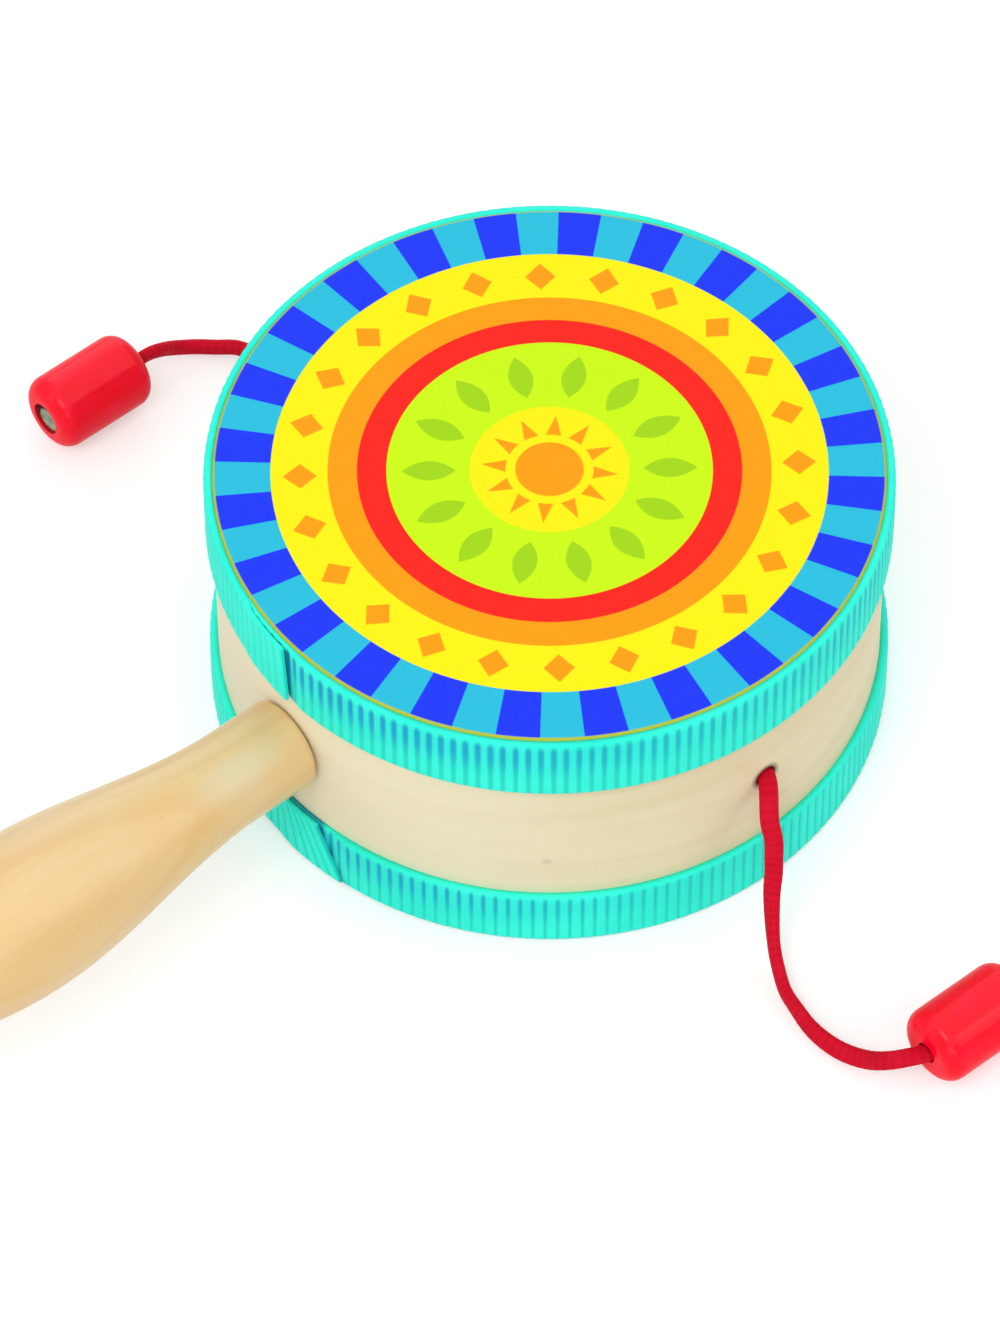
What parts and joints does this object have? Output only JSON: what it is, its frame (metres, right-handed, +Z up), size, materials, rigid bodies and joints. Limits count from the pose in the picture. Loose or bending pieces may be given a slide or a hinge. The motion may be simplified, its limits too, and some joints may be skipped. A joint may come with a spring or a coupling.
{
  "type": "pellet drum rattle",
  "caption": "Hand drum of bent wood on a turned handle, with beads on cords that swing round and tap its printed heads when the handle is twisted.",
  "frame": {"origin": "centre of the lower head's outer face, which the drum stands on", "axes": "+Z up the drum's axis, -X along the handle, -Y to the right-hand cord's hole"},
  "size_m": [0.1661, 0.1561, 0.04],
  "materials": {
    "shell_wood": "satin clear lacquer",
    "head_print": "satin printed board",
    "ribbon": "ribbed woven ribbon with a sheen",
    "handle_wood": "satin clear lacquer",
    "steel": "zinc plated",
    "cord": "matt braided cord",
    "bead_lacquer": "gloss red lacquer",
    "peg_wood": "matt stained wood"
  },
  "bodies": {
    "drum": {"shell": "shell_wood", "upper_head": "head_print", "lower_head": "head_print", "upper_band": "ribbon", "lower_band": "ribbon", "handle": "handle_wood", "handle_screw": "steel", "screw_washer": "steel", "right_cord_knot": "cord", "left_cord_knot": "cord"},
    "right_cord": {"right_cord_lead": "cord"},
    "right_striker": {"right_cord_run": "cord", "right_cord_tail": "cord", "right_bead": "bead_lacquer", "right_bead_peg": "peg_wood"},
    "left_cord": {"left_cord_lead": "cord"},
    "left_striker": {"left_cord_run": "cord", "left_cord_tail": "cord", "left_bead": "bead_lacquer", "left_bead_peg": "peg_wood"}
  },
  "joints": [
    {"name": "right_cord_swing", "type": "hinge", "parent": "drum", "child": "right_cord", "pos_m": [0, -0.0414, 0.02], "axis": [-1, 0, 0], "range_deg": [0, 135], "deforming": ["right_cord_lead"]},
    {"name": "right_bead_swing", "type": "hinge", "parent": "right_cord", "child": "right_striker", "pos_m": [0, -0.052, 0], "axis": [-1, 0, 0], "range_deg": [-177, 23], "deforming": ["right_cord_run"]},
    {"name": "left_cord_swing", "type": "hinge", "parent": "drum", "child": "left_cord", "pos_m": [0, 0.0414, 0.02], "axis": [1, 0, 0], "range_deg": [0, 135], "deforming": ["left_cord_lead"]},
    {"name": "left_bead_swing", "type": "hinge", "parent": "left_cord", "child": "left_striker", "pos_m": [0, 0.05, 0], "axis": [1, 0, 0], "range_deg": [-177, 12], "deforming": ["left_cord_run"]}
  ]
}
